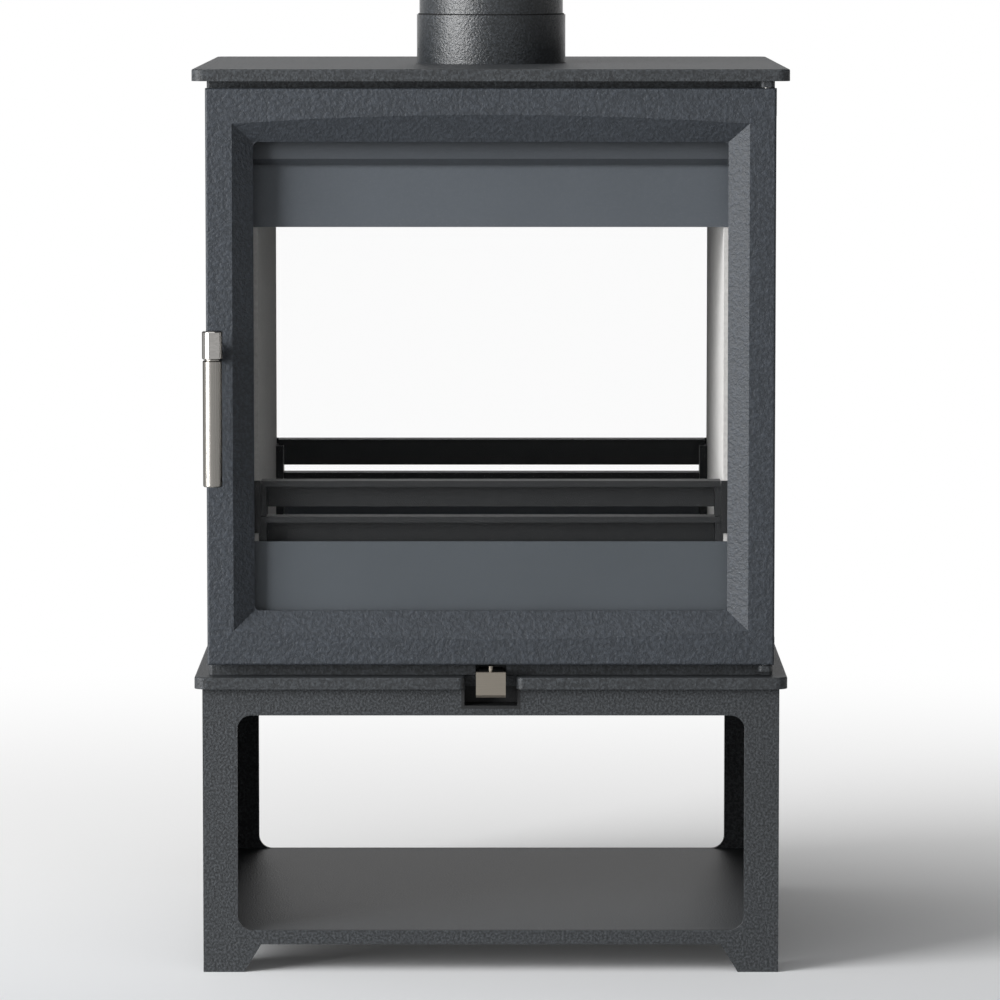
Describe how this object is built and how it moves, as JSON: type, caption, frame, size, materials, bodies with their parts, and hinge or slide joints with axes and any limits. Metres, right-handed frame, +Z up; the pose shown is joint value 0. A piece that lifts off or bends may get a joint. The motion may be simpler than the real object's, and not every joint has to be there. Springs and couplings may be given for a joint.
{
  "type": "double-sided wood stove",
  "caption": "Double-sided wood stove with a hinged glass door front and rear, on an open log store, with a flue collar and pipe.",
  "frame": {"origin": "middle of the footprint, on the floor under the feet", "axes": "+Z up the flue, -Y out of the front door with the air knob, +X to the right seen from the front"},
  "size_m": [0.5, 0.541, 0.85],
  "materials": {
    "body_paint": "satin",
    "door_paint": "satin",
    "store_paint": "satin",
    "flue_paint": "satin",
    "dark_steel": "matte",
    "baffle_steel": "matte",
    "cast_iron": "matte",
    "fire_brick": "matte",
    "fire_glass": "polished",
    "glass_fibre": "woven",
    "bright_steel": "polished",
    "brushed_grip": "brushed",
    "knob_steel": "brushed"
  },
  "bodies": {
    "stove": {"air_slide_guide": "dark_steel", "air_tray": "dark_steel", "ash_pan": "dark_steel", "baffle": "baffle_steel", "firebox_base": "dark_steel", "flue_collar": "flue_paint", "flue_pipe": "flue_paint", "front_airwash_plate": "baffle_steel", "front_frame": "body_paint", "front_guard_brackets": "cast_iron", "front_hinge_pins": "bright_steel", "front_log_retainer": "cast_iron", "front_lower_guard_bar": "cast_iron", "front_upper_guard_bar": "cast_iron", "grate": "cast_iron", "grate_deck": "cast_iron", "left_side_brick": "fire_brick", "left_side_panel": "body_paint", "rear_airwash_plate": "baffle_steel", "rear_frame": "body_paint", "rear_guard_brackets": "cast_iron", "rear_hinge_pins": "bright_steel", "rear_log_retainer": "cast_iron", "rear_lower_guard_bar": "cast_iron", "rear_upper_guard_bar": "cast_iron", "right_side_brick": "fire_brick", "right_side_panel": "body_paint", "store_floor": "store_paint", "store_front_panel": "store_paint", "store_left_side": "store_paint", "store_rear_panel": "store_paint", "store_right_side": "store_paint", "store_top_plate": "body_paint", "top_plate": "body_paint"},
    "front_door": {"front_clip_screws": "bright_steel", "front_door_frame": "door_paint", "front_door_glass": "fire_glass", "front_door_rope": "glass_fibre", "front_glass_clips": "bright_steel", "front_glass_tape": "glass_fibre"},
    "rear_door": {"rear_clip_screws": "bright_steel", "rear_door_frame": "door_paint", "rear_door_glass": "fire_glass", "rear_door_rope": "glass_fibre", "rear_glass_clips": "bright_steel", "rear_glass_tape": "glass_fibre"},
    "front_handle": {"front_handle_grip": "brushed_grip", "front_handle_hub": "bright_steel", "front_handle_spindle": "bright_steel", "front_latch_cam": "bright_steel"},
    "rear_handle": {"rear_handle_grip": "brushed_grip", "rear_handle_hub": "bright_steel", "rear_handle_spindle": "bright_steel", "rear_latch_cam": "bright_steel"},
    "air_control": {"air_knob": "knob_steel", "air_knob_stud": "knob_steel", "air_slide": "dark_steel"}
  },
  "joints": [
    {"name": "front_door_hinge", "type": "hinge", "parent": "stove", "child": "front_door", "pos_m": [0.231, -0.22625, 0.5048], "axis": [0, 0, 1], "range_deg": [0, 105]},
    {"name": "front_handle_turn", "type": "hinge", "parent": "front_door", "child": "front_handle", "pos_m": [-0.2305, -0.226, 0.527], "axis": [0, 1, 0], "range_deg": [0, 60]},
    {"name": "rear_door_hinge", "type": "hinge", "parent": "stove", "child": "rear_door", "pos_m": [-0.231, 0.22625, 0.5048], "axis": [0, 0, 1], "range_deg": [0, 105]},
    {"name": "rear_handle_turn", "type": "hinge", "parent": "rear_door", "child": "rear_handle", "pos_m": [0.2305, 0.226, 0.527], "axis": [0, -1, 0], "range_deg": [0, 60]},
    {"name": "air_slide_pull", "type": "slide", "parent": "stove", "child": "air_control", "axis": [0, -1, 0], "range_m": [0, 0.025]}
  ]
}
